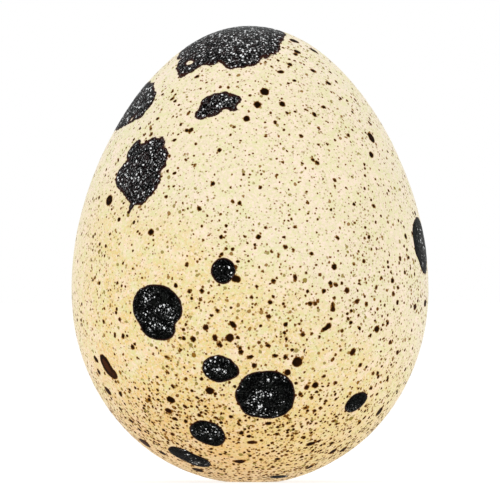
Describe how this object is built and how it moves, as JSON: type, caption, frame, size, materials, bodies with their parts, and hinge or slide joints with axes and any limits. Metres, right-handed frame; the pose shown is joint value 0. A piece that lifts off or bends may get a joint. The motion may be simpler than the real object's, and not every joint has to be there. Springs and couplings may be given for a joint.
{
  "type": "quail egg",
  "caption": "Whole quail egg standing on its blunt end: an uncracked cream shell with dark brown blotches and fine speckles.",
  "frame": {"origin": "middle of the small flat spot under the blunt end, on the surface the egg stands on", "axes": "+Z along the egg's axis of symmetry, from the blunt end up to the pointed end; X and Y are across it, and the side with the densest large blotches, shown in the picture, faces -Y"},
  "size_m": [0.026, 0.026, 0.0331],
  "materials": {
    "shell": "matt, finely pitted"
  },
  "bodies": {
    "root": {"quail_egg": "shell"}
  },
  "joints": []
}
